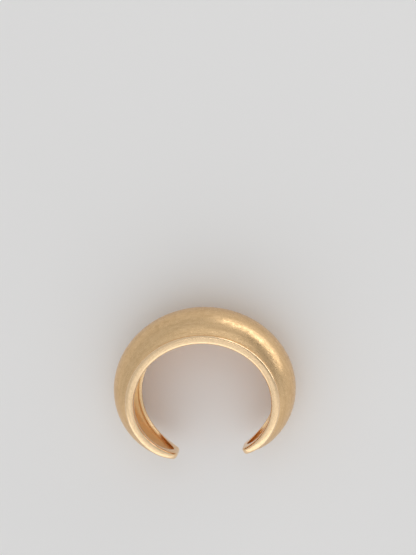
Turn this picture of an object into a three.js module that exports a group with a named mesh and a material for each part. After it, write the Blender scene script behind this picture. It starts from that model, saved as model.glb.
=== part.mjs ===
// Cuff bracelet: one brass casting, gold plated and brushed satin.
//
// Millimetres, +Z up. The cuff lies on its side, as it rests by itself: the arm would go through
// it along Z, the high back of the dome faces +Y and the gap between its ends faces -Y. The origin
// is on the surface that it lies on, under the middle of the whole cuff.
//
// The form is one section swept round an open oval. "Reach" is the place along one side of the
// oval, from 0 at the middle of the back to 1 at an end. In a section, "out" is the distance from
// the wrist and "across" is the distance along the arm from the middle of the width.

import * as THREE from 'three';
import { ParametricGeometry } from 'three/addons/geometries/ParametricGeometry.js';
import { mergeVertices } from 'three/addons/utils/BufferGeometryUtils.js';

// The oval that the wrist goes in
const WRIST_HALF_WIDTH = 30;
const WRIST_HALF_DEPTH = 26.5;
const END_ANGLE = THREE.MathUtils.degToRad( 152 );

// Width along the arm: full round the back, then narrowing to the blunt ends
const FULL_WIDTH = 30;
const END_WIDTH = 7.5;
const FULL_WIDTH_REACH = 0.55;
const NARROWING_CURVE = 1.6;

// Rim bead along both edges, thinner at the very ends
const RIM_THICKNESS = 3.9;
const END_THICKNESS = 2.9;
const THINNING_REACH = 0.86;
const THINNING_CURVE = 1.5;
const BEAD_BULGE = 1.6;
const BEAD_SQUARENESS = 2.3;
const BEAD_LAND_ANGLE = 12;
const BEAD_ANGLES = [ 118, 90, 62, 36, BEAD_LAND_ANGLE, - BEAD_LAND_ANGLE, - 36, - 62, - 90 ];

// Puffed dome between the rims
const DOME_HEIGHT = 9.8;
const DOME_TAPER = 0.91;

// Channel in the wrist side: a step down inside each rim, a narrow shelf, then the hollow
const RIM_LAND = 2.3;
const STEP_DEPTH = 1.4;
const STEP_DRAFT = 0.2;
const SHELF_WIDTH = 2.2;
const WALL = 1.5;
const HOLLOW_REACH = 0.92;
const HOLLOW_FADE = 4;
const CHANNEL_TAPER_REACH = 0.84;
const CHANNEL_END_REACH = 0.968;
const CHANNEL_POINT = 0.8;

// Rounded edge round each end
const END_ROUNDING = 1;

// Fineness of the facets
const STATIONS_PER_SIDE = 34;
const STATION_CROWDING = 1.3;
const END_STEPS = 2;
const DOME_STEPS = 9;
const HOLLOW_STEPS = 6;

const { clamp, degToRad } = THREE.MathUtils;

function widthAt( reach ) {

	const narrowing = clamp( ( reach - FULL_WIDTH_REACH ) / ( 1 - FULL_WIDTH_REACH ), 0, 1 );
	return END_WIDTH + ( FULL_WIDTH - END_WIDTH ) * Math.sqrt( 1 - narrowing ** NARROWING_CURVE );

}

function rimThicknessAt( reach ) {

	const thinning = clamp( ( reach - THINNING_REACH ) / ( 1 - THINNING_REACH ), 0, 1 );
	return RIM_THICKNESS - ( RIM_THICKNESS - END_THICKNESS ) * thinning ** THINNING_CURVE;

}

function domeHeightAt( reach ) {

	return DOME_HEIGHT * Math.max( Math.cos( reach * Math.PI / 2 ), 0 ) ** DOME_TAPER;

}

// A circular arc from the middle of the dome down to the crease beside the bead
function domeArc( reach, crease ) {

	const rise = rimThicknessAt( reach ) + domeHeightAt( reach ) - crease.out;
	const radius = ( crease.across ** 2 + rise ** 2 ) / ( 2 * rise );
	const sweep = Math.atan2( crease.across, radius - rise );
	const points = [];
	for ( let step = 0; step < DOME_STEPS; step ++ ) {

		const angle = sweep * step / DOME_STEPS;
		points.push( {
			out: crease.out + rise - radius * ( 1 - Math.cos( angle ) ),
			across: radius * Math.sin( angle )
		} );

	}
	return points;

}

// The bead is a squared oval from the crease round to the wrist side. A narrow flat land on its
// edge, between the two land angles, is what the cuff lies on.
function beadArc( reach ) {

	const half = rimThicknessAt( reach ) / 2;
	const squared = ( value ) => Math.sign( value ) * Math.abs( value ) ** ( 2 / BEAD_SQUARENESS );
	return BEAD_ANGLES.map( ( degrees ) => {

		const past = Math.max( Math.abs( degrees ) - BEAD_LAND_ANGLE, 0 ) / ( 90 - BEAD_LAND_ANGLE );
		return {
			out: half * ( 1 + squared( Math.sin( degToRad( degrees ) ) ) ),
			across: widthAt( reach ) / 2 - BEAD_BULGE * ( 1 - squared( Math.cos( past * Math.PI / 2 ) ) )
		};

	} );

}

// Half of the channel's width: it runs parallel to the rim, then closes to a leaf point
function channelHalfWidthAt( reach ) {

	const closing = ( reach - CHANNEL_TAPER_REACH ) / ( CHANNEL_END_REACH - CHANNEL_TAPER_REACH );
	const leaf = Math.sqrt( 1 - clamp( closing, 0, 1 ) ** 2 );
	return Math.max( ( widthAt( reach ) / 2 - RIM_LAND ) * leaf, CHANNEL_POINT );

}

function channelArc( reach ) {

	const open = reach <= CHANNEL_END_REACH ? 1 : 0;
	const edge = channelHalfWidthAt( reach );
	const floor = edge - Math.min( STEP_DRAFT, edge / 4 );
	const hollow = Math.max( floor - SHELF_WIDTH, floor * 0.6 );
	const fade = Math.max( 1 - ( reach / HOLLOW_REACH ) ** HOLLOW_FADE, 0 );
	const roof = rimThicknessAt( reach ) + domeHeightAt( reach ) - WALL;
	const rise = open * fade * ( roof - STEP_DEPTH );
	const points = [ { out: 0, across: edge }, { out: open * STEP_DEPTH, across: floor } ];
	for ( let step = 0; step < HOLLOW_STEPS; step ++ ) {

		const angle = Math.PI / 2 * step / HOLLOW_STEPS;
		points.push( {
			out: open * STEP_DEPTH + rise * Math.sin( angle ),
			across: hollow * Math.cos( angle )
		} );

	}
	points.push( { out: open * STEP_DEPTH + rise, across: 0 } );
	return points;

}

// The whole section as a closed loop: over the dome, round the front bead, through the channel
// and back round the other bead
function sectionAt( reach ) {

	const bead = beadArc( reach );
	const half = [ ...domeArc( reach, bead[ 0 ] ), ...bead, ...channelArc( reach ) ];
	const back = half.slice( 1, - 1 ).reverse().map( ( { out, across } ) => ( { out, across: - across } ) );
	return [ ...half, ...back ];

}

// Stations from the closed face of one end to that of the other. An inset shrinks the section
// towards its middle, which rounds the edge of the end.
function makeStations() {

	const side = [];
	for ( let step = 1; step <= STATIONS_PER_SIDE; step ++ ) {

		side.push( Math.sin( STATION_CROWDING * step / STATIONS_PER_SIDE ) / Math.sin( STATION_CROWDING ) );

	}
	const sideLength = END_ANGLE * ( WRIST_HALF_WIDTH + WRIST_HALF_DEPTH ) / 2;
	const straight = 1 - END_ROUNDING / sideLength;
	const afterChannel = CHANNEL_END_REACH + 0.2 / sideLength;
	const reaches = [ ...side.filter( ( reach ) => reach < straight ), CHANNEL_END_REACH, afterChannel ];
	const rows = reaches.sort( ( a, b ) => a - b ).map( ( reach ) => ( { reach, inset: 0 } ) );
	for ( let step = 0; step <= END_STEPS; step ++ ) {

		const angle = Math.PI / 2 * step / END_STEPS;
		const along = straight + END_ROUNDING / sideLength * Math.sin( angle );
		rows.push( { reach: along, inset: END_ROUNDING * ( 1 - Math.cos( angle ) ) } );

	}
	rows.push( { reach: 1, inset: Infinity } );
	const placed = ( side ) => ( { reach, inset } ) => ( { side, reach, inset, section: sectionAt( reach ) } );
	const middle = { side: 1, reach: 0, inset: 0, section: sectionAt( 0 ) };
	return [ ...rows.map( placed( 1 ) ).reverse(), middle, ...rows.map( placed( - 1 ) ) ];

}

// Puts one point of a section in its place on the oval
function placePoint( { side, reach, inset }, { out, across }, target ) {

	const angle = side * reach * END_ANGLE;
	const thickness = rimThicknessAt( reach );
	const shrinkOut = Math.max( 1 - 2 * inset / thickness, 0 );
	const shrinkAcross = Math.max( 1 - 2 * inset / widthAt( reach ), 0 );
	const outward = new THREE.Vector2(
		WRIST_HALF_DEPTH * Math.sin( angle ), WRIST_HALF_WIDTH * Math.cos( angle )
	).normalize();
	const distance = thickness / 2 + ( out - thickness / 2 ) * shrinkOut;
	target.set(
		WRIST_HALF_WIDTH * Math.sin( angle ) + outward.x * distance,
		WRIST_HALF_DEPTH * Math.cos( angle ) + outward.y * distance,
		across * shrinkAcross
	);

}

function makeCuffGeometry() {

	const stations = makeStations();
	const spans = stations.length - 1;
	const sectionSize = stations[ 0 ].section.length;
	const surface = ( u, v, target ) => {

		const station = stations[ Math.round( u * spans ) ];
		placePoint( station, station.section[ Math.round( v * sectionSize ) % sectionSize ], target );

	};
	const geometry = new ParametricGeometry( surface, spans, sectionSize );
	geometry.deleteAttribute( 'normal' );
	geometry.deleteAttribute( 'uv' );
	return closeSeams( geometry );

}

// Joins the seam and the two end faces, and drops the triangles that closed up there
function closeSeams( geometry ) {

	const merged = mergeVertices( geometry, 1e-4 );
	const corners = merged.getIndex().array;
	const kept = [];
	for ( let i = 0; i < corners.length; i += 3 ) {

		const [ a, b, c ] = corners.slice( i, i + 3 );
		if ( a !== b && b !== c && c !== a ) kept.push( a, b, c );

	}
	merged.setIndex( kept );
	merged.computeVertexNormals();
	return merged;

}

function makeCuff() {

	const satinGold = new THREE.MeshStandardMaterial( { color: 0xd2a96a, metalness: 1, roughness: 0.38 } );
	const cuff = new THREE.Mesh( makeCuffGeometry(), satinGold );
	cuff.name = 'cuff';
	cuff.geometry.computeBoundingBox();
	const { min, max } = cuff.geometry.boundingBox;
	cuff.position.set( 0, - ( min.y + max.y ) / 2, - min.z );
	return cuff;

}

const bracelet = new THREE.Group();
bracelet.add( makeCuff() );

export default bracelet;
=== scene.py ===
# A cuff bracelet in satin gold, lying on its side on a pale table. Metres, +Z up, and +Y towards
# the high back of the dome, with the gap between the ends facing -Y.

import math

import bpy
from mathutils import Matrix, Vector


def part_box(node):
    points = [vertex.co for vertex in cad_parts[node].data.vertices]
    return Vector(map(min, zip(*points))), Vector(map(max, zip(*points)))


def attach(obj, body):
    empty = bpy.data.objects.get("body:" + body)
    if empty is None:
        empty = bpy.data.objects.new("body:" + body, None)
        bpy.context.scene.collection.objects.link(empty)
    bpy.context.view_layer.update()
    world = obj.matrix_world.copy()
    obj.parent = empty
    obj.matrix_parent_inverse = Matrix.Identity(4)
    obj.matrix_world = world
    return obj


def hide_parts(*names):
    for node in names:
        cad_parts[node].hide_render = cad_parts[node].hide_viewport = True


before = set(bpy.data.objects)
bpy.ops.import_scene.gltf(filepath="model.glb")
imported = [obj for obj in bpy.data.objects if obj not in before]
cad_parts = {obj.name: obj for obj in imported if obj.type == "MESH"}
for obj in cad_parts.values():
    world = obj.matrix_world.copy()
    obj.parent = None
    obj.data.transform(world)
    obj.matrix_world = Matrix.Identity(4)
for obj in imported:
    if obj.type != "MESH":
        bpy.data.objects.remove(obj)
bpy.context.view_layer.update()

low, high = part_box("cuff")


# --- Camera -------------------------------------------------------------------------------------
# A long lens looks down on the cuff nearly along the arm's line, leaning towards the back of the
# dome and a little to the right, so that the cuff sits low in an empty picture.
def look_from(place, aim, lean, lens):
    forward = (aim - place).normalized()
    upright = Vector((math.sin(lean), math.cos(lean), 0))
    right = forward.cross(upright).normalized()
    up = right.cross(forward)
    camera = bpy.data.objects.new("camera", bpy.data.cameras.new("camera"))
    camera.data.lens = lens
    camera.data.sensor_width = 36
    camera.data.clip_end = 20
    turn = Matrix((right, up, -forward)).transposed().to_4x4()
    camera.matrix_world = Matrix.Translation(place) @ turn
    bpy.context.scene.collection.objects.link(camera)
    return camera


bpy.context.scene.camera = look_from(
    place=Vector((0.1050, 0.1713, 0.8404)),
    aim=Vector((0.0052, 0.0444, 0.0049)),
    lean=math.radians(5.63),
    lens=125,
)


# --- Cuff ---------------------------------------------------------------------------------------
# One brass casting: a puffed dome between two rounded rim beads, swept round an open oval and
# narrowed to blunt ends. Its wrist side is a channel, stepped down inside each rim, with a hollow
# behind the dome. It is cast in one piece, plated, and brushed along its length.
class Value:
    """A number that varies over a surface: arithmetic on it adds Math nodes to its tree."""

    def __init__(self, tree, socket):
        self.tree = tree
        self.socket = socket

    def make(self, kind, settings=None, values=None, output=0):
        """Adds a node: its type, its settings first, then the values or links of its sockets."""
        node = self.tree.nodes.new(kind)
        for name, setting in (settings or {}).items():
            setattr(node, name, setting)
        for key, value in (values or {}).items():
            if isinstance(value, Value):
                self.tree.links.new(value.socket, node.inputs[key])
            else:
                node.inputs[key].default_value = value
        return Value(self.tree, node.outputs[output])

    def math(self, operation, *others):
        values = {place: value for place, value in enumerate((self, *others))}
        return self.make("ShaderNodeMath", {"operation": operation}, values)

    def __add__(self, other):
        return self.math("ADD", other)

    def __sub__(self, other):
        return self.math("SUBTRACT", other)

    def __rsub__(self, other):
        return (self * -1) + other

    def __mul__(self, other):
        return self.math("MULTIPLY", other)

    def __truediv__(self, other):
        return self.math("DIVIDE", other)

    def __pow__(self, power):
        return self.math("POWER", power)

    __radd__ = __add__
    __rmul__ = __mul__

    def clamp(self):
        return self.math("MAXIMUM", 0).math("MINIMUM", 1)

    def part(self, start, end):
        """0 up to start, 1 from end on, and even in between."""
        return ((self - start) / (end - start)).clamp()

    def soft_part(self, start, end):
        even = self.part(start, end)
        return even * even * (3 - even * 2)

    def squared_off(self, squareness):
        return self.math("SIGN") * self.math("ABSOLUTE") ** (2 / squareness)


CUFF_SIZES = {
    "wrist half width": 0.030,
    "wrist half depth": 0.0265,
    "end angle": math.radians(152),
    "full width": 0.030,
    "end width": 0.0075,
    "full width reach": 0.55,
    "rim thickness": 0.0039,
    "end thickness": 0.0029,
    "thinning reach": 0.86,
    "bead bulge": 0.0016,
    "crease angle": math.radians(118),
    "dome height": 0.0098,
    "rim land": 0.0023,
    "step depth": 0.0014,
    "shelf width": 0.0022,
    "wall": 0.0015,
    "channel taper reach": 0.84,
    "channel end reach": 0.968,
    "end rounding": 0.001,
}
ALONG_STEPS = 560
ROUND_STEPS = 150


def cuff_tree():
    tree = bpy.data.node_groups.new("cuff_form", "GeometryNodeTree")
    face = tree.interface
    face.new_socket("Geometry", in_out="OUTPUT", socket_type="NodeSocketGeometry")
    for name in CUFF_SIZES:
        face.new_socket(name, in_out="INPUT", socket_type="NodeSocketFloat")
    face.new_socket("metal", in_out="INPUT", socket_type="NodeSocketMaterial")
    inputs = tree.nodes.new("NodeGroupInput")
    size = {name: Value(tree, inputs.outputs[name]) for name in CUFF_SIZES}
    start = size["wall"]

    grid = tree.nodes.new("GeometryNodeMeshGrid")
    grid.inputs["Vertices X"].default_value = ALONG_STEPS + 1
    grid.inputs["Vertices Y"].default_value = ROUND_STEPS + 1
    place = start.make("ShaderNodeSeparateXYZ", values={0: Value(tree, grid.outputs["UV Map"])})
    along = place * 2 - 1
    around = Value(tree, place.socket.node.outputs[1]) * 2 - 1

    # Reach: 0 at the middle of the back, 1 at an end. The last rows round the end's edge, and
    # then close its face.
    side_length = size["end angle"] * (size["wrist half width"] + size["wrist half depth"]) / 2
    rounding = size["end rounding"]
    stride = along.math("ABSOLUTE")
    straight = 1 - rounding / side_length
    turn = stride.part(0.955, 0.985) * (math.pi / 2)
    crowded = (stride.part(0, 0.955) * 1.3).math("SINE") / math.sin(1.3)
    reach = straight * crowded + rounding / side_length * turn.math("SINE")
    inset = rounding * (1 - turn.math("COSINE"))
    closing = 1 - stride.part(0.985, 1)

    narrowing = reach.part(size["full width reach"], 1)
    width = size["end width"] + (size["full width"] - size["end width"]) * (
        (1 - narrowing ** 1.6).math("SQRT")
    )
    thinning = reach.part(size["thinning reach"], 1) ** 1.5
    thickness = size["rim thickness"] - (size["rim thickness"] - size["end thickness"]) * thinning
    dome = size["dome height"] * (reach * (math.pi / 2)).math("COSINE").math("MAXIMUM", 0) ** 0.91

    # The bead, from the crease over its outer edge and face to the wrist side
    bulge = size["bead bulge"]

    def bead_point(angle):
        out = thickness / 2 * (1 + angle.math("SINE").squared_off(2.3))
        return out, width / 2 - bulge * (1 - angle.math("COSINE").squared_off(2.3))

    level = around.math("ABSOLUTE")
    crease_angle = size["crease angle"]
    bead_angle = crease_angle - level.part(0.34, 0.64) * (crease_angle + math.pi / 2)
    bead_out, bead_across = bead_point(bead_angle)
    crease_out, crease_across = bead_point(crease_angle)

    # The dome, a circular arc whose points crowd towards the crease
    rise = thickness + dome - crease_out
    radius = (crease_across ** 2 + rise ** 2) / (rise * 2)
    sweep = crease_across.math("ARCTAN2", radius - rise)
    arc = sweep * (1 - (1 - level.part(0, 0.34)) ** 1.7)
    dome_out = crease_out + rise - radius * (1 - arc.math("COSINE"))
    dome_across = radius * arc.math("SINE")

    # The channel: the wrist face of the rim, a rounded step, a shelf, and the hollow
    leaf = (1 - reach.part(size["channel taper reach"], size["channel end reach"]) ** 2)
    leaf = leaf.math("MAXIMUM", 0).math("SQRT")
    edge = ((width / 2 - size["rim land"]) * leaf).math("MAXIMUM", 0.0008)
    draft = (edge / 4).math("MINIMUM", 0.0004)
    floor = edge - draft
    brink = (floor - size["shelf width"]).math("MAXIMUM", floor * 0.6)
    open_here = 1 - reach.soft_part(size["channel end reach"] - 0.003, size["channel end reach"])
    fade = (1 - (reach / 0.92) ** 4).math("MAXIMUM", 0)
    roof = (thickness + dome - size["wall"] - size["step depth"]) * fade * open_here
    depth = size["step depth"] * open_here
    rim_side = width / 2 - bulge
    ledge = depth * level.soft_part(0.68, 0.75)
    vault = level.part(0.79, 1) * (math.pi / 2)
    channel_out = ledge + roof * vault.math("SINE")
    channel_across = (
        rim_side - (rim_side - edge) * level.part(0.64, 0.68)
        - draft * level.part(0.68, 0.75)
        - (floor - brink) * level.part(0.75, 0.79)
        - brink * (1 - vault.math("COSINE"))
    )

    on_bead = level.math("GREATER_THAN", 0.34)
    in_channel = level.math("GREATER_THAN", 0.64)
    out = dome_out + (bead_out - dome_out) * on_bead + (channel_out - bead_out) * in_channel
    across = (
        dome_across + (bead_across - dome_across) * on_bead
        + (channel_across - bead_across) * in_channel
    )

    shrink_out = (1 - inset * 2 / thickness) * closing
    shrink_across = (1 - inset * 2 / width) * closing
    distance = thickness / 2 + (out - thickness / 2) * shrink_out
    angle = along.math("SIGN") * reach * size["end angle"]
    outward_x = size["wrist half depth"] * angle.math("SINE")
    outward_y = size["wrist half width"] * angle.math("COSINE")
    length = (outward_x ** 2 + outward_y ** 2).math("SQRT")
    spot = start.make("ShaderNodeCombineXYZ", values={
        0: size["wrist half width"] * angle.math("SINE") + outward_x / length * distance,
        1: size["wrist half depth"] * angle.math("COSINE") + outward_y / length * distance,
        2: around.math("SIGN") * across * shrink_across,
    })

    # What the finish needs to know of each point: its place along and round the metal, how far into
    # the channel it is, and how close to the crease.
    # The channel mask also sets a painted warm reflection, the crease mask a painted shade line, and
    # the rim mask a painted lighter sheen on the bead.
    grain = start.make("ShaderNodeCombineXYZ", values={
        0: along.math("SIGN") * reach * side_length,
        1: around.math("SIGN") * level * 0.03,
        2: 0.0,
    })
    in_recess = level.soft_part(0.69, 0.75) * open_here
    crease_painted_shade = 1 - ((level - 0.345).math("ABSOLUTE") / 0.02).clamp()
    on_rim = level.soft_part(0.35, 0.40)

    shape = Value(tree, grid.outputs["Mesh"])
    shape = start.make("GeometryNodeSetPosition", values={"Geometry": shape, "Position": spot})
    for name, kind, value in (
        ("grain", "FLOAT_VECTOR", grain),
        ("recess", "FLOAT", in_recess),
        ("crease", "FLOAT", crease_painted_shade),
        ("rim", "FLOAT", on_rim),
    ):
        node = tree.nodes.new("GeometryNodeStoreNamedAttribute")
        node.data_type = kind
        node.inputs["Name"].default_value = name
        tree.links.new(shape.socket, node.inputs["Geometry"])
        tree.links.new(value.socket, node.inputs["Value"])
        shape = Value(tree, node.outputs["Geometry"])
    for kind, values in (
        ("GeometryNodeMergeByDistance", {"Distance": 1e-6}),
        ("GeometryNodeFlipFaces", {}),
        ("GeometryNodeSetShadeSmooth", {}),
        ("GeometryNodeRealizeInstances", {}),
        ("GeometryNodeSetMaterial", {"Material": Value(tree, inputs.outputs["metal"])}),
    ):
        shape = start.make(kind, values={0: shape, **values})
    output = tree.nodes.new("NodeGroupOutput")
    tree.links.new(shape.socket, output.inputs[0])
    return tree


def satin_gold():
    """Warm gold plate: brushed along the cuff outside, and matt as cast in the channel.
    It has painted light: a deeper orange in the channel for bounced light, a darker crease line for
    shade, and a lighter rim bead for sheen.
    """
    material = bpy.data.materials.new("satin_gold")
    material.use_nodes = True
    tree = material.node_tree
    tree.nodes.clear()
    surface = tree.nodes.new("ShaderNodeBsdfPrincipled")
    output = tree.nodes.new("ShaderNodeOutputMaterial")
    tree.links.new(surface.outputs[0], output.inputs["Surface"])
    start = Value(tree, surface.outputs[0])

    def attribute(name, output_index=2):
        return start.make("ShaderNodeAttribute", {"attribute_name": name}, output=output_index)

    def noise(scale, detail, roughness=0.5, spread=(1, 1, 1), of=None):
        where = start.make("ShaderNodeVectorMath", {"operation": "MULTIPLY"}, {0: of, 1: spread})
        return start.make(
            "ShaderNodeTexNoise",
            {},
            {"Vector": where, "Scale": scale, "Detail": detail, "Roughness": roughness},
        )

    grain = attribute("grain", 1)
    place = start.make("ShaderNodeTexCoord", output="Object")
    recess = attribute("recess")
    crease = attribute("crease")
    rim = attribute("rim")

    # Brush lines are long along the cuff and fine across it, in two weights
    fine_lines = noise(1500, 3, 0.7, (0.45, 1, 1), grain)
    broad_lines = noise(900, 3, 0.65, (0.12, 1, 1), grain)
    clouds = noise(70, 3, 0.5, (1, 1, 1), place)
    cast_skin = noise(1100, 4, 0.7, (1, 1, 1), place)

    outside = 1 - recess
    plate = start.make("ShaderNodeMix", {"data_type": "RGBA"}, {
        0: (clouds - 0.35).clamp() * 0.6,
        6: (0.84, 0.575, 0.31, 1),
        7: (0.90, 0.64, 0.37, 1),
    }, output=2)
    lined = start.make("ShaderNodeMix", {"data_type": "RGBA"}, {
        0: ((fine_lines + broad_lines) / 2).part(0.42, 0.60) * 0.8 * outside,
        6: plate,
        7: (0.68, 0.45, 0.23, 1),
    }, output=2)
    # Painted shade: a thin darker orange line along the crease where the dome meets the rim bead.
    shaded = start.make("ShaderNodeMix", {"data_type": "RGBA"}, {
        0: crease * 0.2,
        6: lined,
        7: (0.56, 0.29, 0.10, 1),
    }, output=2)
    # Partly real, partly painted light: the rim bead is burnished smoother (lower roughness below),
    # and its colour is painted lighter as a sheen for the highlight it catches.
    burnish_and_painted_sheen = rim * outside
    painted_rim_sheen = start.make("ShaderNodeMix", {"data_type": "RGBA"}, {
        0: burnish_and_painted_sheen * (1 - fine_lines.part(0.45, 0.65) * 0.5),
        6: shaded,
        7: (0.96, 0.70, 0.43, 1),
    }, output=2)
    # Painted reflection, partly real: the channel's mottled cast skin is real texture, and its
    # deeper, warmer orange is painted in for light bounced between the gold walls.
    colour = start.make("ShaderNodeMix", {"data_type": "RGBA"}, {
        0: recess * (0.8 + (cast_skin - 0.5) * 1.4).clamp(),
        6: painted_rim_sheen,
        7: (1.0, 0.63, 0.28, 1),
    }, output=2)
    tree.links.new(colour.socket, surface.inputs["Base Color"])

    roughness = (
        0.32 - burnish_and_painted_sheen * 0.14 + recess * 0.04
        + (fine_lines - 0.5) * 0.45 + (clouds - 0.5) * 0.08
    )
    tree.links.new(roughness.socket, surface.inputs["Roughness"])
    height = (fine_lines + broad_lines * 0.6) * outside * (1 - rim * 0.8) + cast_skin * recess * 3
    bump = start.make("ShaderNodeBump", {}, {
        "Height": height, "Strength": 0.7, "Distance": 0.00011,
    })
    tree.links.new(bump.socket, surface.inputs["Normal"])
    surface.inputs["Metallic"].default_value = 1
    surface.inputs["Anisotropic"].default_value = 0.2
    surface.inputs["Anisotropic Rotation"].default_value = 0.25
    return material


def make_cuff():
    blank = bpy.data.objects.new("cuff_blank", bpy.data.meshes.new("cuff_blank"))
    bpy.context.scene.collection.objects.link(blank)
    modifier = blank.modifiers.new("form", "NODES")
    modifier.node_group = cuff_tree()
    gold = satin_gold()
    for socket in modifier.node_group.interface.items_tree:
        if socket.in_out == "INPUT":
            modifier[socket.identifier] = gold if socket.name == "metal" else CUFF_SIZES[socket.name]
    graph = bpy.context.evaluated_depsgraph_get()
    mesh = bpy.data.meshes.new_from_object(blank.evaluated_get(graph), depsgraph=graph)
    bpy.data.objects.remove(blank)
    middle = (low + high) / 2
    spots = [vertex.co.y for vertex in mesh.vertices]
    mesh.transform(Matrix.Translation((0, middle.y - (min(spots) + max(spots)) / 2, middle.z)))
    cuff = bpy.data.objects.new("cuff_casting", mesh)
    bpy.context.scene.collection.objects.link(cuff)
    return cuff


cuff = make_cuff()
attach(cuff, "root")
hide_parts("cuff")


# --- Table and studio ---------------------------------------------------------------------------
# A pale matt table top under the cuff, with a soft light low behind it to the right, a narrow
# one overhead and a weak broad one in front, in a pale room.
def plain_material(name, colour, roughness):
    material = bpy.data.materials.new(name)
    material.use_nodes = True
    surface = material.node_tree.nodes["Principled BSDF"]
    surface.inputs["Base Color"].default_value = (*colour, 1)
    surface.inputs["Roughness"].default_value = roughness
    return material


def make_table():
    half = 3
    mesh = bpy.data.meshes.new("table_top")
    corners = [(-half, -half, 0), (half, -half, 0), (half, half, 0), (-half, half, 0)]
    mesh.from_pydata(corners, [], [(0, 1, 2, 3)])
    mesh.materials.append(plain_material("table_paint", (0.85, 0.835, 0.82), 0.8))
    table = bpy.data.objects.new("table_top", mesh)
    bpy.context.scene.collection.objects.link(table)
    return table


def soft_light(name, place, width, height, power):
    light = bpy.data.lights.new(name, "AREA")
    light.shape = "RECTANGLE"
    light.size = width
    light.size_y = height
    light.energy = power
    lamp = bpy.data.objects.new(name, light)
    lamp.location = place
    lamp.rotation_euler = (Vector((0, 0, 0.015)) - Vector(place)).to_track_quat("-Z", "Y").to_euler()
    bpy.context.scene.collection.objects.link(lamp)


make_table()
soft_light("side_softbox", (0.66, 0.62, 0.13), 1.2, 0.26, 2.1)
soft_light("top_softbox", (0.12, 0.50, 0.85), 0.8, 0.08, 0.25)
soft_light("front_softbox", (-0.25, -0.80, 0.35), 1.8, 0.7, 1.3)


def pale_room():
    """A pale room, lighter overhead and in front, and dim above the side light."""
    room = bpy.data.worlds.new("pale_room")
    room.use_nodes = True
    tree = room.node_tree
    background = tree.nodes["Background"]
    start = Value(tree, background.outputs[0])
    direction = start.make("ShaderNodeTexCoord", output="Generated")
    height = start.make("ShaderNodeSeparateXYZ", {}, {0: direction}, output=2)
    side, depth = (Value(tree, height.socket.node.outputs[axis]) for axis in (0, 1))
    brightness = (
        0.61 + height.soft_part(0.3, 0.75) * 0.05 + height.soft_part(0.85, 1) * 0.2
        + (depth * -1).soft_part(0, 0.8) * 0.4
        - side.soft_part(0.3, 0.65) * depth.soft_part(-0.1, 0.35) * 0.32
    )
    tree.links.new(brightness.socket, background.inputs["Strength"])
    background.inputs["Color"].default_value = (0.97, 0.985, 1.0, 1)
    return room


bpy.context.scene.world = pale_room()
bpy.context.scene.view_settings.view_transform = "Standard"
